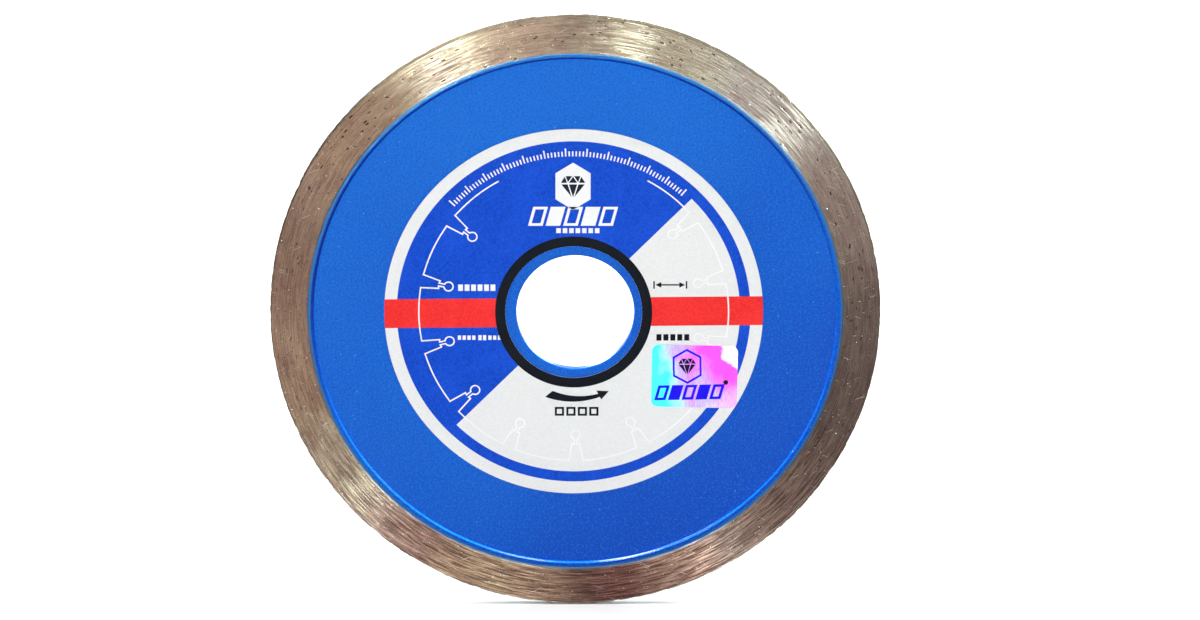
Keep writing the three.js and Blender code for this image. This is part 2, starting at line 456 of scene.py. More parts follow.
def hologram_foil():
    """Embossed foil: a printed rainbow that drifts from cyan through lilac to magenta, with fine ribs and a
    painted glare over its upper right corner.
    """
    m = Shader("hologram_rainbow_foil")
    place = m.place()
    x, _, z = m.split(place)
    across = m.times(m.minus(x, HOLOGRAM_X), 1 / HOLOGRAM_WIDTH)
    up = m.times(m.minus(z, HOLOGRAM_Z), 1 / HOLOGRAM_HEIGHT)
    swirl = m.noise(place, 0.17, roughness=0.45, distortion=0.5)
    wisps = m.noise(place, 0.55, detail=3.0, roughness=0.6, distortion=0.8)
    swirled = m.times(m.minus(swirl, 0.5), 1.1)
    wispy = m.times(m.minus(wisps, 0.5), 0.28)
    rainbow = m.ramp(
        m.plus(across, swirled, wispy, m.times(up, 0.22), 0.5),
        [
            (0.06, (0.04, 0.88, 0.95)),
            (0.20, (0.30, 0.80, 0.95)),
            (0.34, (0.50, 0.58, 0.95)),
            (0.48, (0.55, 0.36, 0.93)),
            (0.66, (0.66, 0.20, 0.93)),
            (0.84, (0.88, 0.06, 0.85)),
            (0.98, (0.95, 0.05, 0.78)),
        ],
    )
    ragged = m.times(m.minus(wisps, 0.5), 0.12)
    # a painted glare: the upper right corner of the foil is washed nearly white
    right_part = m.band(m.plus(across, ragged), 0.30, 0.35)
    corner = m.band(m.plus(across, up, ragged), 0.57, 0.64)
    glare = m.math("MINIMUM", right_part, corner)
    pale = m.band(m.minus(across, m.times(up, 1.1)), 0.55, 0.85, 0.0, 0.6)
    washed = m.mix(pale, rainbow, (0.78, 0.56, 0.92))
    m.set(Base_Color=m.mix(glare, washed, (1.0, 0.92, 1.0)))
    ribs = m.noise(m.stretched(place, (9.0, 1.0, 0.6)), 1.4)
    m.set(Roughness=m.band(ribs, 0.3, 0.7, 0.22, 0.36))
    m.bump([(ribs, 0.004, 0.4), (wisps, 0.01, 0.3)])
    m.set(Metallic=0.25, Specular_IOR_Level=0.25, Coat_Weight=0.2, Coat_Roughness=0.08)
    return m.block


def crystal():
    """Industrial diamond: bright, hard and a little yellow, with cloudy flaws."""
    m = Shader("diamond_crystal")
    place = m.place()
    flaws = m.noise(place, 6.0, detail=3.0)
    hue = m.noise(place, 0.8, detail=1.0)
    clear = m.mix(m.band(hue, 0.4, 0.6), (0.74, 0.72, 0.62), (0.88, 0.87, 0.82))
    m.set(Base_Color=m.mix(m.band(flaws, 0.45, 0.7, 0.0, 0.5), clear, (0.30, 0.27, 0.20)))
    m.set(Roughness=m.band(flaws, 0.3, 0.7, 0.06, 0.25))
    m.bump([(flaws, 0.01, 0.3)])
    m.set(IOR=2.42)
    return m.block


def studio_floor():
    """Pale matt floor with a faint sweep of tone."""
    m = Shader("pale_studio_floor")
    place = m.place()
    tone = m.noise(place, 0.004)
    grain = m.noise(place, 0.5, detail=3.0)
    m.set(Base_Color=m.mix(m.band(tone, 0.3, 0.7), (0.92, 0.92, 0.92), (0.95, 0.95, 0.945)))
    m.set(Roughness=m.band(grain, 0.3, 0.7, 0.8, 0.9))
    return m.block


# -------- mesh helpers


def new_piece(name, points, faces, material, smooth=False):
    """A mesh piece from points in millimetres as (x, y, z), riding on the blade."""
    mesh = bpy.data.meshes.new(name)
    mesh.from_pydata([tuple(c * MM for c in p) for p in points], [], faces)
    mesh.validate()
    mesh.polygons.foreach_set("use_smooth", [smooth] * len(mesh.polygons))
    mesh.materials.append(material)
    piece = bpy.data.objects.new(name, mesh)
    bpy.context.scene.collection.objects.link(piece)
    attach(piece, BODY)
    return piece


def ring_angles(columns):
    return np.arange(columns) * 2 * math.pi / columns


def ring_grids(section, columns):
    """Radii and heights of (radius, height) corners, a row for each, repeated for every column."""
    return [np.repeat(np.array(values)[:, None], columns, axis=1) for values in zip(*section)]


def ring_surface(name, radii, heights, material, replaced):
    """A closed ring from grids of radius and height, one row for each corner of its section.

    Rows run round the section and close on themselves, and columns run round the spin axis.
    """
    angles = ring_angles(radii.shape[1])
    points = np.stack([radii * np.cos(angles), heights, radii * np.sin(angles)], axis=-1)
    here = np.arange(radii.size).reshape(radii.shape)
    beside = np.roll(here, -1, axis=1)
    faces = np.stack([here, np.roll(here, -1, axis=0), np.roll(beside, -1, axis=0), beside], axis=-1)
    points, faces = points.reshape(-1, 3).tolist(), faces.reshape(-1, 4).tolist()
    piece = new_piece(name, points, faces, material, smooth=True)
    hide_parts(replaced)
    return piece


def ring_noise(random, rows, columns, across, along):
    """Smooth random relief on a ring's grid, with features of the given sizes in cells."""
    white = random.standard_normal((rows, columns))
    row_waves = np.fft.fftfreq(rows)[:, None] * across
    column_waves = np.fft.fftfreq(columns)[None, :] * along
    keep = np.exp(-6.0 * (row_waves**2 + column_waves**2))
    relief = np.fft.ifft2(np.fft.fft2(white) * keep).real
    return relief / relief.std()


def printed(name, shapes, material, base, top):
    """Thin inks as closed plates: each shape is [outline, hole, hole...], each a list of (x, z)."""
    points, faces = [], []
    for loops in shapes:
        start = len(points)
        flat = [p for loop in loops for p in loop]
        points += [(x, -base, z) for x, z in flat]
        points += [(x, -top, z) for x, z in flat]
        count = len(flat)
        polygons = [[Vector((x, z, 0)) for x, z in loop] for loop in loops]
        for a, b, c in tessellate_polygon(polygons):
            (ax, az), (bx, bz), (cx, cz) = flat[a], flat[b], flat[c]
            if (bx - ax) * (cz - az) - (bz - az) * (cx - ax) < 0:
                a, c = c, a
            faces.append((start + count + a, start + count + b, start + count + c))
            faces.append((start + c, start + b, start + a))
        first = 0
        for index, loop in enumerate(loops):
            size = len(loop)
            following = loop[1:] + loop[:1]
            area = sum(x * next_z - next_x * z for (x, z), (next_x, next_z) in zip(loop, following))
            forward = (area > 0) == (index == 0)
            for i in range(size):
                here, there = start + first + i, start + first + (i + 1) % size
                side = (here, there, there + count, here + count)
                faces.append(side if forward else side[::-1])
            first += size
    return new_piece(name, points, faces, material)


# -------- flat drawing helpers


def arc(radius, start, end, steps, centre=(0.0, 0.0)):
    """Points along an arc, with angles in degrees."""
    angles = [math.radians(start + (end - start) * i / steps) for i in range(steps + 1)]
    return [(centre[0] + radius * math.cos(a), centre[1] + radius * math.sin(a)) for a in angles]


def circle(radius, steps, centre=(0.0, 0.0)):
    return arc(radius, 0, 360, steps, centre)[:-1]


def on_label(points):
    """Moves points drawn about the label's centre to where the label is stuck."""
    return [(x + LABEL_X, z + LABEL_Z) for x, z in points]


def turned(points, degrees, centre=(0.0, 0.0)):
    angle = math.radians(degrees)
    cosine, sine = math.cos(angle), math.sin(angle)
    return [(centre[0] + x * cosine - z * sine, centre[1] + x * sine + z * cosine) for x, z in points]


def rectangle(width, height, centre=(0.0, 0.0), slant=0.0):
    """A rectangle whose top is pushed to the right by slant."""
    x, z = width / 2, height / 2
    corners = [(-x - slant / 2, -z), (x - slant / 2, -z), (x + slant / 2, z), (-x + slant / 2, z)]
    return [(centre[0] + a, centre[1] + b) for a, b in corners]


def ribbon(name, path, width, material, base, top):
    """A thin closed strip of ink along a path of (x, z), with mitred corners."""
    steps = [Vector(b) - Vector(a) for a, b in zip(path, path[1:])]
    edges = []
    for index, here in enumerate(path):
        before = steps[max(index - 1, 0)].normalized()
        after = steps[min(index, len(steps) - 1)].normalized()
        middle = (before + after).normalized()
        reach = width / 2 / max(0.5, middle.dot(after))
        aside = Vector((-middle.y, middle.x)) * reach
        edges.append((Vector(here) + aside, Vector(here) - aside))
    points = []
    for left, right in edges:
        points += [(left.x, -top, left.y), (right.x, -top, right.y)]
        points += [(right.x, -base, right.y), (left.x, -base, left.y)]
    faces = [(0, 1, 2, 3)]
    last = 4 * (len(path) - 1)
    for start in range(0, last, 4):
        for corner in range(4):
            here, beside = start + corner, start + (corner + 1) % 4
            faces.append((here, here + 4, beside + 4, beside))
    faces.append((last + 3, last + 2, last + 1, last))
    return new_piece(name, points, faces, material)


# -------- rim, grit and paint


RIM_COLUMNS = 1296
CHEEK_ROWS = 28
BEVEL = 0.15
SHOULDER_RUN = 0.3
SHOULDER_DROP = 0.03
PITS_PER_CHEEK = 420
PIT_DEPTH = 0.030
RELIEF_LIMIT = 0.012
EDGE_WEAR_LIMIT = 0.035
CHIP_DEPTH = 0.20
CHIP_START = 1.5


def rim_section():
    """The rim's section as (radius, height) corners, and which rows lie on a ground cheek or the edge."""
    cheek = np.linspace(PAINT_RADIUS - 0.04, RIM_RADIUS - BEVEL - 0.04, CHEEK_ROWS - 1)
    cheek = np.append(cheek, RIM_RADIUS - BEVEL)
    edge_heights = np.linspace(-(RIM_CHEEK - BEVEL), RIM_CHEEK - BEVEL, 9)
    shoulder = [(STEP_RADIUS, SHOULDER), (STEP_RADIUS + SHOULDER_RUN, SHOULDER - SHOULDER_DROP)]
    section = [(radius, -height) for radius, height in shoulder]
    section += [(radius, -RIM_CHEEK) for radius in cheek]
    section += [(RIM_RADIUS - 0.3 * BEVEL, -(RIM_CHEEK - 0.3 * BEVEL))]
    section += [(RIM_RADIUS, height) for height in edge_heights]
    section += [(RIM_RADIUS - 0.3 * BEVEL, RIM_CHEEK - 0.3 * BEVEL)]
    section += [(radius, RIM_CHEEK) for radius in cheek[::-1]]
    section += shoulder[::-1] + [(STEP_RADIUS, CORE_FACE), (CORE_RADIUS, CORE_FACE)]
    section += [(CORE_RADIUS, -CORE_FACE), (STEP_RADIUS, -CORE_FACE)]
    first_edge = 2 + CHEEK_ROWS
    last_edge = first_edge + len(edge_heights) + 2
    back = slice(last_edge, last_edge + CHEEK_ROWS)
    return section, slice(2, first_edge), slice(first_edge, last_edge), back


def build_rim():
    """The sintered rim with ground grooves, pores and a slightly chipped edge cut into its mesh."""
    random = np.random.default_rng(115)
    section, front, edge, back = rim_section()
    radii, heights = ring_grids(section, RIM_COLUMNS)
    pits = np.zeros_like(radii)
    size = (CHEEK_ROWS, RIM_COLUMNS)
    for cheek, side in ((front, FRONT), (back, BACK)):
        relief = 0.0024 * ring_noise(random, *size, across=9, along=55)
        relief += 0.0022 * ring_noise(random, *size, across=1.3, along=14)
        relief += 0.0007 * ring_noise(random, *size, across=1.0, along=3)
        depth = np.zeros(size)
        for _ in range(PITS_PER_CHEEK):
            ring = random.integers(1, CHEEK_ROWS - 1)
            column = random.integers(RIM_COLUMNS)
            long_way = np.arange(column, column + random.integers(1, 4)) % RIM_COLUMNS
            depth[ring, long_way] = random.uniform(0.4, 1.0)
        pits[cheek] = depth
        heights[cheek] += side * np.minimum(relief - PIT_DEPTH * depth, RELIEF_LIMIT)
    edge_size = (edge.stop - edge.start, RIM_COLUMNS)
    wear = 0.034 * ring_noise(random, *edge_size, across=4, along=24)
    wear += 0.058 * ring_noise(random, *edge_size, across=3, along=3)
    chips = ring_noise(random, *edge_size, across=5, along=6)
    radii[edge] += np.minimum(wear, EDGE_WEAR_LIMIT) - CHIP_DEPTH * np.maximum(chips - CHIP_START, 0)
    bronze = ground_bronze()
    rim = ring_surface("ground_diamond_rim", radii, heights, bronze, "diamond_rim")
    attribute = rim.data.attributes.new("pit", "FLOAT", "POINT")
    attribute.data.foreach_set("value", pits.ravel())
    return rim


def rotation_matrix(random):
    """A random turn in space as a 3 by 3 matrix."""
    turn, _ = np.linalg.qr(random.standard_normal((3, 3)))
    return turn * np.sign(np.linalg.det(turn))


def crystal_shape():
    """Corners and faces of a cuboctahedron, the usual habit of grown diamond grit."""
    pairs = [(a, b) for a in (-1, 1) for b in (-1, 1)]
    corners = [(a, b, 0) for a, b in pairs] + [(a, 0, b) for a, b in pairs] + [(0, a, b) for a, b in pairs]
    corners = np.array(corners) / math.sqrt(2)
    normals = [np.eye(3)[axis] * sign for axis in range(3) for sign in (-1, 1)]
    normals += [np.array((a, b, c)) / math.sqrt(3) for a, b in pairs for c in (-1, 1)]
    faces = []
    for normal in normals:
        reach = corners @ normal
        ring = [i for i in range(12) if reach[i] > reach.max() - 1e-6]
        middle = corners[ring].mean(axis=0)
        first = corners[ring[0]] - middle
        second = np.cross(normal, first)
        ring.sort(key=lambda i: math.atan2((corners[i] - middle) @ second, (corners[i] - middle) @ first))
        faces.append(ring)
    return corners, faces


CRYSTALS_PER_CHEEK = 420
CRYSTALS_ON_EDGE = 520
LARGE_SHARE = 0.12


def build_grit():
    """Diamond crystals that stand a little proud of the ground cheeks and the cutting edge."""
    random = np.random.default_rng(22)
    corners, shape_faces = crystal_shape()
    points, faces = [], []

    def add_crystal(centre, size):
        stretch = random.uniform(0.75, 1.2, 3) * size
        placed = (corners * stretch) @ rotation_matrix(random).T + centre
        start = len(points)
        points.extend(placed.tolist())
        faces.extend([start + i for i in face] for face in shape_faces)

    for side in (FRONT, BACK):
        for _ in range(CRYSTALS_PER_CHEEK):
            angle = random.uniform(0, 2 * math.pi)
            radius = random.uniform(STEP_RADIUS + 1.2, RIM_RADIUS - 0.3)
            small = random.random() < 1 - LARGE_SHARE
            size = random.uniform(0.05, 0.11) if small else random.uniform(0.12, 0.17)
            height = side * (RIM_CHEEK - random.uniform(0.35, 0.8) * size)
            add_crystal((radius * math.cos(angle), height, radius * math.sin(angle)), size)
    for _ in range(CRYSTALS_ON_EDGE):
        angle = random.uniform(0, 2 * math.pi)
        size = random.uniform(0.06, 0.13)
        radius = RIM_RADIUS - random.uniform(0.35, 0.7) * size
        height = random.uniform(-0.85, 0.85) * RIM_CHEEK
        add_crystal((radius * math.cos(angle), height, radius * math.sin(angle)), size)
    return new_piece("diamond_grit", points, faces, crystal())


PAINT_COLUMNS = 1152
PAINT_FLAT_ROWS = 26
LAP_TOP = BEAD_TOP - 0.015
LAP_EDGE = RIM_CHEEK + 0.05
CLIMB_START = STEP_RADIUS - 0.38  # where the enamel begins to climb the rim's step
CLIMB_RUN = 0.40
CLIMB_ROWS = 14
LAP_PARTS = (0.1, 0.25, 0.45, 0.65, 0.85)
FEATHER = 0.06  # how far the coat's thin outer edge reaches
STEP_DRIFT = 0.018


def build_paint(name, side, seed, replaced, material):
    """One enamel coat: rounded at the bore, filleted up the step, and ragged where it laps the rim."""
    random = np.random.default_rng(seed)
    flat = np.linspace(BORE_RADIUS + 0.3, CLIMB_START - 0.1, PAINT_FLAT_ROWS)
    outside = [(BORE_RADIUS - 0.01, CORE_FACE - 0.08), (BORE_RADIUS - 0.02, CORE_FACE + 0.01)]
    outside += [(BORE_RADIUS + 0.01, PAINT_FACE - 0.03), (BORE_RADIUS + 0.09, PAINT_FACE - 0.004)]
    outside += [(radius, PAINT_FACE) for radius in flat]
    for i in range(CLIMB_ROWS + 1):
        part = i / CLIMB_ROWS
        eased = part**1.5
        eased *= eased * (3 - 2 * eased)
        outside.append((CLIMB_START + CLIMB_RUN * part, PAINT_FACE + (LAP_TOP - PAINT_FACE) * eased))
    lap_start = len(outside)
    lap = PAINT_RADIUS - FEATHER - CLIMB_START - CLIMB_RUN
    for part in LAP_PARTS:
        outside.append((CLIMB_START + CLIMB_RUN + lap * part, LAP_TOP - (LAP_TOP - LAP_EDGE) * part**1.2))
    feather_start = len(outside)
    outside += [(PAINT_RADIUS - FEATHER, LAP_EDGE), (PAINT_RADIUS, LAP_EDGE - 0.006)]
    outside += [(PAINT_RADIUS + 0.03, LAP_EDGE - 0.03)]
    feather_end = len(outside)
    inside = [(PAINT_RADIUS - 0.05, RIM_CHEEK - 0.03), (STEP_RADIUS + 0.25, SHOULDER - 0.03)]
    inside += [(STEP_RADIUS, SHOULDER), (STEP_RADIUS, CORE_FACE), (BORE_RADIUS, CORE_FACE)]
    section = outside + inside
    radii, heights = ring_grids(section, PAINT_COLUMNS)
    shown = slice(3, feather_start)
    relief = 0.0016 * ring_noise(random, len(outside), PAINT_COLUMNS, across=2, along=10)
    heights[shown] += relief[shown]
    step_drift = np.clip(ring_noise(random, 1, PAINT_COLUMNS, across=0, along=120)[0], -2, 2)
    radii[lap_start - CLIMB_ROWS - 1 : lap_start] += STEP_DRIFT * step_drift
    rag = ring_noise(random, 1, PAINT_COLUMNS, across=0, along=3)[0]
    drift = ring_noise(random, 1, PAINT_COLUMNS, across=0, along=70)[0]
    short = MASK_DROP * (1 + np.sin(ring_angles(PAINT_COLUMNS)))
    radii[feather_start:feather_end] += 0.035 * rag + 0.06 * drift
    radii[lap_start:feather_start] -= np.array(LAP_PARTS)[:, None] * short
    radii[feather_start : feather_end + 1] -= short
    heights *= side
    if side == BACK:
        radii, heights = radii[::-1], heights[::-1]
    return ring_surface(name, radii, heights, material, replaced)


# -------- printing on the label

INK_BASE = LABEL_FACE - 0.02
BLUE_TOP = LABEL_FACE + 0.005
RED_TOP = LABEL_FACE + 0.008
BLACK_TOP = LABEL_FACE + 0.011
WHITE_TOP = LABEL_FACE + 0.014

BLUE_RING_RADIUS = 33.35
FIELD_RADIUS = 31.35
BLACK_RING_RADIUS = 14.8
UNDER_BLACK_RADIUS = 14.0
BAND_HALF = 2.82
BAND_TILT = 0.5
DIAGONAL = 45.0
TOOTH_COUNT = 14
TOOTH_RADIUS = 29.2
MOUTH_HALF = 1.3
THROAT_HALF = 0.74
THROAT_RADIUS = 25.85
NECK_HALF = 0.28
KEYHOLE_RADIUS = 0.87
KEYHOLE_MIDDLE = 24.1
ART_TURN = 0.8
LINE_WIDTH = 0.26
SCALE_RADIUS = 30.45
SCALE_START = 137.0
SCALE_END = 48.5
TICK_COUNT = 72
TICKS_PER_LONG = 6
LONG_TICK = 1.55
SHORT_TICK = 0.95


def label_blue():
    """Royal-blue ring joined to the upper-left half of the field."""
    pale_half = arc(FIELD_RADIUS, DIAGONAL - 180, DIAGONAL, 120)
    round_hole = arc(UNDER_BLACK_RADIUS, DIAGONAL, DIAGONAL + 180, 72)
    return [[circle(BLUE_RING_RADIUS, 240), pale_half + round_hole]]


def label_band():
    """Red band across the whole label, broken by the black ring."""
    shapes = []
    outer_angle = math.degrees(math.asin(BAND_HALF / LABEL_RADIUS))
    inner_angle = math.degrees(math.asin(BAND_HALF / UNDER_BLACK_RADIUS))
    for middle in (0, 180):
        outer = arc(LABEL_RADIUS, middle - outer_angle, middle + outer_angle, 8)
        inner = arc(UNDER_BLACK_RADIUS, middle + inner_angle, middle - inner_angle, 12)
        shapes.append([turned(outer + inner, BAND_TILT)])
    return shapes


def label_black_ring():
    return [[circle(BLACK_RING_RADIUS, 180), circle(LABEL_HOLE + 0.01, 180)]]


def keyhole_path(angle):
    """One keyhole slot of the drawn blade, from the tooth circle in, round the hole and out again."""
    opening = math.degrees(math.asin(NECK_HALF / KEYHOLE_RADIUS))
    hole = arc(KEYHOLE_RADIUS, 90 - opening, opening - 270, 20, (0.0, KEYHOLE_MIDDLE))
    half = [(MOUTH_HALF, TOOTH_RADIUS), (THROAT_HALF, THROAT_RADIUS), (NECK_HALF, THROAT_RADIUS + 0.12)]
    path = half + hole + [(-x, z) for x, z in half[::-1]]
    return turned(path, angle - 90)


def rim_drawing():
    """Line round a segmented rim: tooth arcs joined by keyhole slots, open at the top."""
    pitch = 360 / TOOTH_COUNT
    mouth_angle = math.degrees(math.asin(MOUTH_HALF / TOOTH_RADIUS))
    slots = [270 + pitch * k for k in range(-5, 6)]
    path = arc(TOOTH_RADIUS, 118, slots[0] - mouth_angle, 10)[:-1]
    for index, angle in enumerate(slots):
        path += keyhole_path(angle)
        end = 360 + 63 if index == len(slots) - 1 else slots[index + 1] - mouth_angle
        path += arc(TOOTH_RADIUS, angle + mouth_angle, end, 10)[1:-1]
    return on_label(turned(path, ART_TURN))


def label_tick_scale():
    """A graduated arc along the top of the field."""
    shapes = []
    for index in range(TICK_COUNT + 1):
        angle = SCALE_START + (SCALE_END - SCALE_START) * index / TICK_COUNT
        height = LONG_TICK if index % TICKS_PER_LONG == 0 else SHORT_TICK
        tick = rectangle(LINE_WIDTH + 0.01, height, (0.0, SCALE_RADIUS + height / 2))
        shapes.append([turned(tick, angle - 90)])
    return shapes


def row(centre, count, pitch):
    """The middles of a row of equal marks."""
    return [(centre[0] + (index - (count - 1) / 2) * pitch, centre[1]) for index in range(count)]


def frame_and_tiles(centre, count, width, height, gap, slant, line):
    """A row of slanted tiles, outlined and filled by turns."""
    shapes = []
    for index, middle in enumerate(row(centre, count, width + gap)):
        tile = [rectangle(width, height, middle, slant)]
        if index % 2 == 0:
            inner_slant = slant * (height - 2 * line) / height
            tile.append(rectangle(width - 2.2 * line, height - 2 * line, middle, inner_slant))
        shapes.append(tile)
    return shapes


def gem_facets(centre, half_width, half_height, shrink):
    """A cut stone seen from the side, as separate facets with gaps between them."""
    girdle = [(-1, 0.25), (-0.4, 0.25), (0.4, 0.25), (1, 0.25)]
    table = [(-0.62, 0.85), (0.0, 0.85), (0.62, 0.85)]
    point = (0.0, -1.0)
    facets = [(girdle[i], girdle[i + 1], table[i]) for i in range(3)]
    facets += [(girdle[i + 1], table[i + 1], table[i]) for i in range(2)]
    facets += [(girdle[i], point, girdle[i + 1]) for i in range(3)]
    shapes = []
    for facet in facets:
        middle = Vector((sum(x for x, _ in facet) / 3, sum(z for _, z in facet) / 3))
        corners = [middle + (Vector(p) - middle) * shrink for p in facet]
        shapes.append([[(centre[0] + half_width * p.x, centre[1] + half_height * p.y) for p in corners]])
    return shapes


def hexagon(centre, half_width, half_height):
    shoulder = half_height * 0.55
    corners = [(0, half_height), (half_width, shoulder), (half_width, -shoulder)]
    corners += [(0, -half_height), (-half_width, -shoulder), (-half_width, shoulder)]
    return [(centre[0] + x, centre[1] + z) for x, z in corners][::-1]


def bars(centre, count, length, height, gap):
    """A row of plain bars where small print would be."""
    return [[rectangle(length, height, middle)] for middle in row(centre, count, length + gap)]


def small_tiles(centre, count, size, gap):
    """A row of square outlines, for a blade that cuts tiles."""
    inner = size - 0.8
    middles = row(centre, count, size + gap)
    return [[rectangle(size, size, middle), rectangle(inner, inner, middle)] for middle in middles]


def width_symbol(centre, width, height):
    """Two end stops with a double arrow between them."""
    x, z = centre
    half = width / 2
    line = 0.28
    head = 1.1
    shapes = [[rectangle(line, height, (x + side * (half - line / 2), z))] for side in (-1, 1)]
    tip = half - line - 0.12
    arrow = [(-tip, 0), (-tip + head, -0.55), (-tip + head, -line / 2), (tip - head, -line / 2)]
    arrow += [(tip - head, -0.55), (tip, 0), (tip - head, 0.55), (tip - head, line / 2)]
    arrow += [(-tip + head, line / 2), (-tip + head, 0.55)]
    return shapes + [[[(x + a, z + b) for a, b in arrow]]]


def turning_arrow():
    """The arrow that gives the direction of rotation, under the black ring."""
    under = arc(14.5, 249.1, 290.9, 24, (-0.24, -3.1))
    over = arc(13.16, 285.2, 247.0, 24, (1.16, -3.34))
    head = [(5.2, -17.15), (6.64, -15.5), (4.28, -15.4)]
    return [[under + head + over]]


def build_label_printing():
    blue = ink("print_royal_blue", (0.004, 0.077, 0.63), (0.001, 0.043, 0.41))
    red = ink("print_signal_red", (0.87, 0.033, 0.031), (0.72, 0.017, 0.016))
    black = ink("print_black", (0.003, 0.004, 0.009), (0.001, 0.002, 0.005))
    white = ink("print_white", (0.82, 0.82, 0.825), (0.78, 0.78, 0.785))
    navy = ink("print_navy", (0.012, 0.014, 0.035), (0.008, 0.009, 0.024))
    white_bars = bars((0.8, 15.95), 7, 0.85, 0.95, 0.36)
    white_bars += bars((-18.25, 4.8), 6, 0.9, 1.25, 0.32)
    white_bars += bars((-20.2, -5.0), 4, 0.62, 0.85, 0.28)
    white_bars += bars((-17.25, -5.0), 2, 0.62, 1.0, 0.26)
    white_bars += bars((-14.9, -5.0), 3, 0.62, 0.85, 0.28)
    black_marks = width_symbol((18.2, 5.35), 6.4, 1.5)
    black_marks += bars((18.7, -4.95), 5, 0.95, 1.25, 0.36)
    black_marks += small_tiles((0.55, -19.5), 4, 1.75, 0.42)
    tile_row = frame_and_tiles((-0.1, 18.75), 5, 2.75, 3.7, 0.55, 1.0, 0.5)
    layers = [
        ("blue_field", label_blue(), blue, BLUE_TOP),
        ("red_band", label_band(), red, RED_TOP),
        ("black_ring", label_black_ring(), black, BLACK_TOP),
        ("tick_scale", label_tick_scale(), white, BLACK_TOP),
        ("gem_badge", [[hexagon((-0.1, 24.6), 3.3, 4.6)]], white, BLACK_TOP),
        ("gem", gem_facets((-0.1, 24.55), 2.45, 2.5, 0.80), navy, WHITE_TOP),
        ("tile_row", tile_row, white, BLACK_TOP),
        ("small_white_bars", white_bars, white, BLACK_TOP),
        ("small_black_marks", black_marks, black, BLACK_TOP),
        ("turning_arrow", turning_arrow(), black, BLACK_TOP),
    ]
    for name, shapes, material, top in layers:
        placed = [[on_label(loop) for loop in shape] for shape in shapes]
        printed("label_print_" + name, placed, material, INK_BASE, top)
    ribbon("label_print_rim_drawing", rim_drawing(), LINE_WIDTH, white, INK_BASE, WHITE_TOP)


def build_hologram_printing():
    """A blue stone in a hexagon over a row of tiles, printed on the foil."""
    blue = ink("print_hologram_blue", (0.010, 0.002, 0.85), (0.008, 0.001, 0.75))
    dark = ink("print_hologram_dark", (0.004, 0.003, 0.014), (0.003, 0.002, 0.010))
    base = HOLOGRAM_FACE - 0.02
    top = HOLOGRAM_FACE + 0.008

    def place(shapes):
        centre = (HOLOGRAM_X, HOLOGRAM_Z)
        return [[turned(loop, HOLOGRAM_TILT, centre) for loop in shape] for shape in shapes]

    middle = (-1.35, 2.0)
    ring = [[hexagon(middle, 2.7, 3.45), hexagon(middle, 2.35, 3.0)]]
    tiles = frame_and_tiles((-1.0, -3.1), 5, 2.15, 2.9, 0.45, 0.9, 0.5)
    printed("hologram_print_frame", place(ring + tiles), blue, base, top)
    dot = [[circle(0.46, 24, (5.9, -1.3))]]
    gem = gem_facets(middle, 1.75, 1.85, 0.84)
    printed("hologram_print_gem", place(gem + dot), dark, base, top)


# -------- stage, camera and lights


def build_floor():
    half = 40.0
    mesh = bpy.data.meshes.new("studio_floor")
    corners = [(-half, -half, 0), (half, -half, 0), (half, half, 0), (-half, half, 0)]
    mesh.from_pydata(corners, [], [(0, 1, 2, 3)])
    mesh.materials.append(studio_floor())
    floor = bpy.data.objects.new("studio_floor", mesh)
    floor.location.z = BLADE_BOTTOM - 0.0002
    bpy.context.scene.collection.objects.link(floor)


CAMERA_DISTANCE = 1.87
CAMERA_ELEVATION = math.radians(16.0)
FRAME_WIDTH = 0.2263  # what the camera sees across at the blade, in metres
SENSOR_WIDTH = 36.0
BLADE_ACROSS = -0.0206 * FRAME_WIDTH  # the blade sits a little left of the frame's middle
BLADE_DOWN = 0.0008 * FRAME_WIDTH


def build_camera():
    """A long lens a little above the blade, square to its labelled face."""
    data = bpy.data.cameras.new("camera")
    data.sensor_width = SENSOR_WIDTH
    data.lens = SENSOR_WIDTH * CAMERA_DISTANCE / FRAME_WIDTH
    data.clip_start = 0.01
    data.clip_end = 200.0
    camera = bpy.data.objects.new("camera", data)
    back = Vector((0, -math.cos(CAMERA_ELEVATION), math.sin(CAMERA_ELEVATION)))
    up = Vector((0, math.sin(CAMERA_ELEVATION), math.cos(CAMERA_ELEVATION)))
    aim = Vector((-BLADE_ACROSS, 0, 0)) + up * BLADE_DOWN
    camera.location = aim + back * CAMERA_DISTANCE
    camera.rotation_euler = (-back).to_track_quat("-Z", "Y").to_euler()
    bpy.context.scene.collection.objects.link(camera)
    bpy.context.scene.camera = camera


FILL_LEAN = 40
FILL_DISTANCE = 1.1
FILL_SIZE = 0.4
FILL_POWER = 2.6
FILL_COLOUR = (1.0, 0.99, 0.97)
RAKING_LEAN = 87
RAKING_STRENGTH = 12.0
RAKING_SPREAD = 16
STREAK_TILT = 0.34  # how far the ground facets that glint are tipped outward
STREAK_LIGHT_HEIGHT = 0.1  # as a share of its distance
COOL_WHITE = (0.74, 1.0, 1.04)  # the bronze's own tint warms it


def hang_light(name, direction, across, distance, width, height, power, colour):
    """A rectangular light at a distance in a direction from the blade, facing it, its width along across."""
    data = bpy.data.lights.new(name, "AREA")
    data.shape = "RECTANGLE"
    data.size = width
    data.size_y = height
    data.energy = power
    data.color = colour
    light = bpy.data.objects.new(name, data)
    up = direction.cross(across).normalized()
    light.matrix_world = Matrix.Translation(direction * distance) @ Matrix(
        (up.cross(direction), up, direction)
    ).transposed().to_4x4()
    light.visible_camera = False
    bpy.context.scene.collection.objects.link(light)
    return light


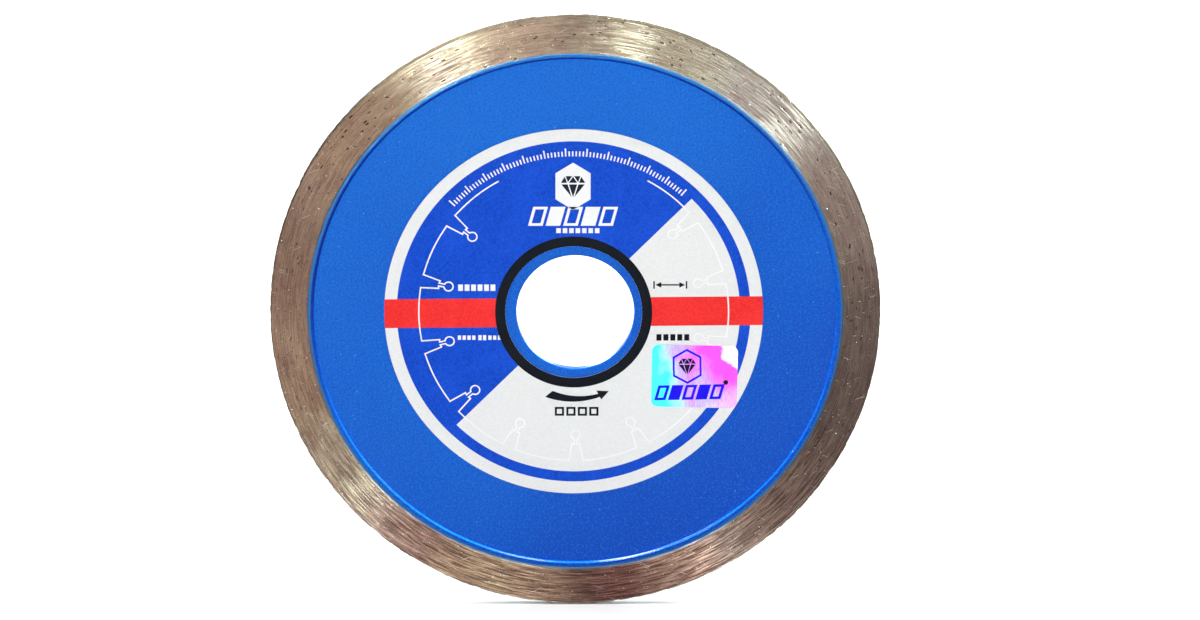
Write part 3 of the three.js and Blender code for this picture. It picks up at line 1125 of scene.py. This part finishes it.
def leaning(round_angle, lean, side):
    """The direction that round_angle turns about the spin axis and lean tips away from it, in degrees."""
    angle, tip = math.radians(round_angle), math.radians(lean)
    outward = math.sin(tip)
    return Vector((outward * math.cos(angle), side * math.cos(tip), outward * math.sin(angle)))


def fill_light(name, round_angle, side):
    """A broad soft light on one face."""
    direction = leaning(round_angle, FILL_LEAN, side)
    size = (FILL_SIZE, FILL_SIZE)
    hang_light(name, direction, Vector((1, 0, 0)), FILL_DISTANCE, *size, FILL_POWER, FILL_COLOUR)


def streak_light(name, streak_angle, distance, width, power, side):
    """A small light whose glint on the rim's ground lines lies along one radius of the blade.

    It hangs where a tipped facet at streak_angle would mirror it to the viewer, and its width is a
    share of the distance.
    """
    angle = math.radians(streak_angle)
    facet = Vector((STREAK_TILT * math.cos(angle), side, STREAK_TILT * math.sin(angle))).normalized()
    view = Vector((0, side * math.cos(CAMERA_ELEVATION), math.sin(CAMERA_ELEVATION)))
    direction = (2 * view.dot(facet) * facet - view).normalized()
    across = Vector((-math.sin(angle), 0, math.cos(angle)))
    size = (width * distance, STREAK_LIGHT_HEIGHT * distance)
    light = hang_light(name, direction, across, distance, *size, power * distance**2, COOL_WHITE)
    light.visible_diffuse = False
    return light


def only_on(light, names):
    """Keeps a light to the pieces whose names start with one of the given words."""
    receivers = bpy.data.collections.new(light.name + "_receivers")
    for piece in bpy.context.scene.objects:
        if piece.type == "MESH" and piece.name.startswith(names):
            receivers.objects.link(piece)
    light.light_linking.receiver_collection = receivers


def sun_light(name, direction, strength, spread):
    """A distant light that shines from a direction, spread over an angle in degrees."""
    data = bpy.data.lights.new(name, "SUN")
    data.energy = strength
    data.angle = math.radians(spread)
    light = bpy.data.objects.new(name, data)
    light.rotation_euler = direction.to_track_quat("Z", "Y").to_euler()
    bpy.context.scene.collection.objects.link(light)
    return light


def raking_light(name, round_angle, side):
    """A distant light that grazes one face and picks out the step in its enamel, without long shadows."""
    light = sun_light(name, leaning(round_angle, RAKING_LEAN, side), RAKING_STRENGTH, RAKING_SPREAD)
    light.data.use_shadow = False
    only_on(light, ("front_enamel", "back_enamel"))


def build_world():
    """A studio that is pale at the horizon and darker overhead."""
    sky = Shader("soft_studio", bpy.data.worlds, "Background")
    height = sky.split(sky.node("TexCoord", {}, "Generated"))["Z"]
    sky.set(Color=sky.ramp(height, [(0.02, (0.65,) * 3), (0.36, (0.175,) * 3)]), Strength=1.0)
    bpy.context.scene.world = sky.block


def build_lights():
    sun_light("overhead", Vector((0, 0, 1)), 1.9, 50)
    only_on(sun_light("floor_wash", Vector((0, 0, 1)), 2.0, 60), ("studio_floor",))
    raking_light("front_raking", 105, FRONT)
    raking_light("back_raking", 75, BACK)
    fill_light("front_fill", 120, FRONT)
    fill_light("back_fill", 60, BACK)
    for side, sheet in ((FRONT, "front"), (BACK, "back")):
        streak_light(sheet + "_streak_right", 42.5, 1.6, 0.06, 7.3, side)
        streak_light(sheet + "_streak_upper_right", 57, 0.9, 0.21, 4.8, side)
        top = streak_light(sheet + "_streak_top", 78.5, 0.7, 0.03, 6.2, side)
        only_on(top, ("ground_diamond_rim", "diamond_grit"))
        streak_light(sheet + "_streak_upper_left", 117.5, 1.4, 0.12, 12.2, side)
    bpy.context.scene.view_settings.view_transform = "Standard"


def paint_node(name, material):
    for slot in frame["nodes"][name].material_slots:
        slot.material = material


build_rim()
build_grit()
enamel = blue_enamel()
build_paint("front_enamel_coat", FRONT, 7, "front_paint_coat", enamel)
build_paint("back_enamel_coat", BACK, 8, "back_paint_coat", enamel)
paint_node("steel_core", bore_steel())
paint_node("front_label", label_film())
paint_node("hologram_sticker", hologram_foil())
build_label_printing()
build_hologram_printing()
build_floor()
build_camera()
build_world()
build_lights()
